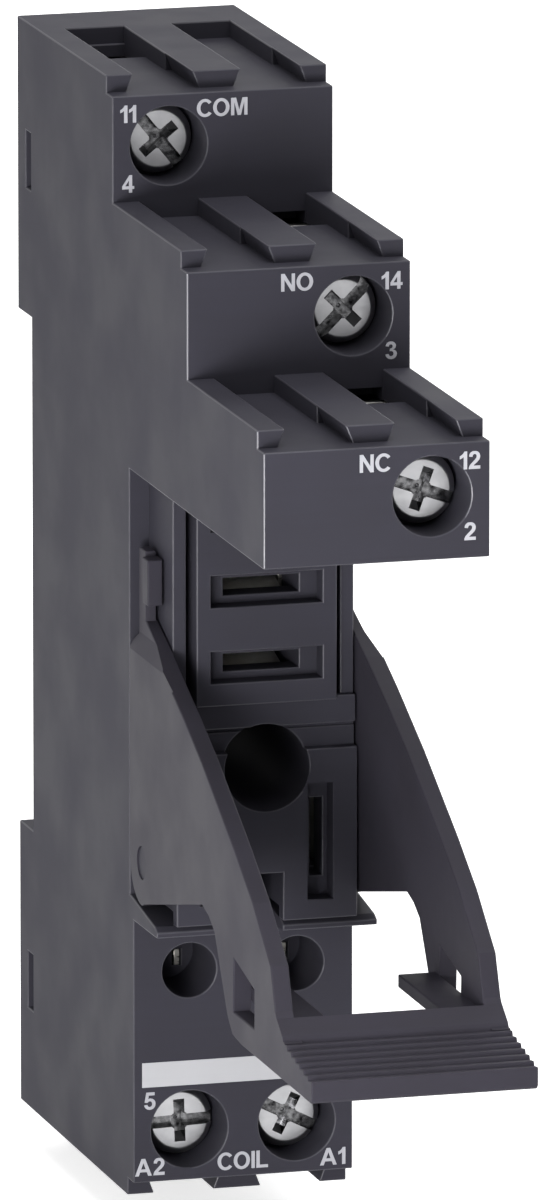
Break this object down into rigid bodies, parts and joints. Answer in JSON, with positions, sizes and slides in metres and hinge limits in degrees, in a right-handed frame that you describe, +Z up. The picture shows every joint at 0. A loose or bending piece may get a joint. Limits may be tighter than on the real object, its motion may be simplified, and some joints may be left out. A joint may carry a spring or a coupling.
{
  "type": "relay socket",
  "caption": "Slim socket for a plug-in relay on a mounting rail, with stepped screw terminals and a retaining lever.",
  "frame": {"origin": "middle of the seat that lies on the mounting rail, halfway across the width", "axes": "+Z up along the socket's height, -Y towards the front with the terminals, +Y towards the rail, X across the width"},
  "size_m": [0.0154, 0.0744, 0.0792],
  "materials": {
    "housing_plastic": "fine matt moulding",
    "cover_plastic": "fine matt moulding",
    "latch_plastic": "fine matt moulding",
    "lever_plastic": "fine matt moulding",
    "spring_steel": "bright drawn wire",
    "strip_brass": "tin-plated",
    "clip_bronze": "tin-plated",
    "cage_steel": "zinc-plated",
    "screw_steel": "zinc-plated"
  },
  "bodies": {
    "base": {"housing": "housing_plastic", "rear_cover": "cover_plastic", "latch_spring": "spring_steel", "strip_com": "strip_brass", "clip_com": "clip_bronze", "strip_no": "strip_brass", "clip_no": "clip_bronze", "strip_nc": "strip_brass", "clip_nc": "clip_bronze", "strip_a2": "strip_brass", "clip_a2": "clip_bronze", "strip_a1": "strip_brass", "clip_a1": "clip_bronze"},
    "lever": {"lever": "lever_plastic"},
    "rail_latch": {"rail_latch": "latch_plastic"},
    "screw_com": {"screw_com": "screw_steel"},
    "cage_com": {"cage_com": "cage_steel"},
    "screw_no": {"screw_no": "screw_steel"},
    "cage_no": {"cage_no": "cage_steel"},
    "screw_nc": {"screw_nc": "screw_steel"},
    "cage_nc": {"cage_nc": "cage_steel"},
    "screw_a2": {"screw_a2": "screw_steel"},
    "cage_a2": {"cage_a2": "cage_steel"},
    "screw_a1": {"screw_a1": "screw_steel"},
    "cage_a1": {"cage_a1": "cage_steel"}
  },
  "joints": [
    {"name": "lever_swing", "type": "hinge", "parent": "base", "child": "lever", "pos_m": [0, -0.0285, -0.014], "axis": [1, 0, 0], "range_deg": [0, 24]},
    {"name": "latch_slide", "type": "slide", "parent": "base", "child": "rail_latch", "axis": [0, 0, -1], "range_m": [0, 0.0024], "stiffness_N_per_m": 600, "springref_m": -0.002, "deforming": ["latch_spring"]},
    {"name": "screw_com_turn", "type": "hinge", "parent": "base", "child": "screw_com", "pos_m": [-0.00379, -0.01928, 0.03389], "axis": [0, 1, 0], "range_deg": [0, 3040]},
    {"name": "cage_com_rise", "type": "slide", "parent": "base", "child": "cage_com", "axis": [0, -1, 0], "range_m": [0, 0.0042]},
    {"name": "screw_no_turn", "type": "hinge", "parent": "base", "child": "screw_no", "pos_m": [0.00379, -0.03822, 0.02541], "axis": [0, 1, 0], "range_deg": [0, 3040]},
    {"name": "cage_no_rise", "type": "slide", "parent": "base", "child": "cage_no", "axis": [0, -1, 0], "range_m": [0, 0.0042]},
    {"name": "screw_nc_turn", "type": "hinge", "parent": "base", "child": "screw_nc", "pos_m": [0.00379, -0.05716, 0.01693], "axis": [0, 1, 0], "range_deg": [0, 3040]},
    {"name": "cage_nc_rise", "type": "slide", "parent": "base", "child": "cage_nc", "axis": [0, -1, 0], "range_m": [0, 0.0042]},
    {"name": "screw_a2_turn", "type": "hinge", "parent": "base", "child": "screw_a2", "pos_m": [-0.00379, -0.0243, -0.03335], "axis": [0, 1, 0], "range_deg": [0, 3040]},
    {"name": "cage_a2_rise", "type": "slide", "parent": "base", "child": "cage_a2", "axis": [0, -1, 0], "range_m": [0, 0.0042]},
    {"name": "screw_a1_turn", "type": "hinge", "parent": "base", "child": "screw_a1", "pos_m": [0.00379, -0.0243, -0.03335], "axis": [0, 1, 0], "range_deg": [0, 3040]},
    {"name": "cage_a1_rise", "type": "slide", "parent": "base", "child": "cage_a1", "axis": [0, -1, 0], "range_m": [0, 0.0042]}
  ],
  "couplings": [
    {"joint": "screw_com_turn", "follows": "cage_com_rise", "rad_per_m": 12566},
    {"joint": "screw_no_turn", "follows": "cage_no_rise", "rad_per_m": 12566},
    {"joint": "screw_nc_turn", "follows": "cage_nc_rise", "rad_per_m": 12566},
    {"joint": "screw_a2_turn", "follows": "cage_a2_rise", "rad_per_m": 12566},
    {"joint": "screw_a1_turn", "follows": "cage_a1_rise", "rad_per_m": 12566}
  ]
}
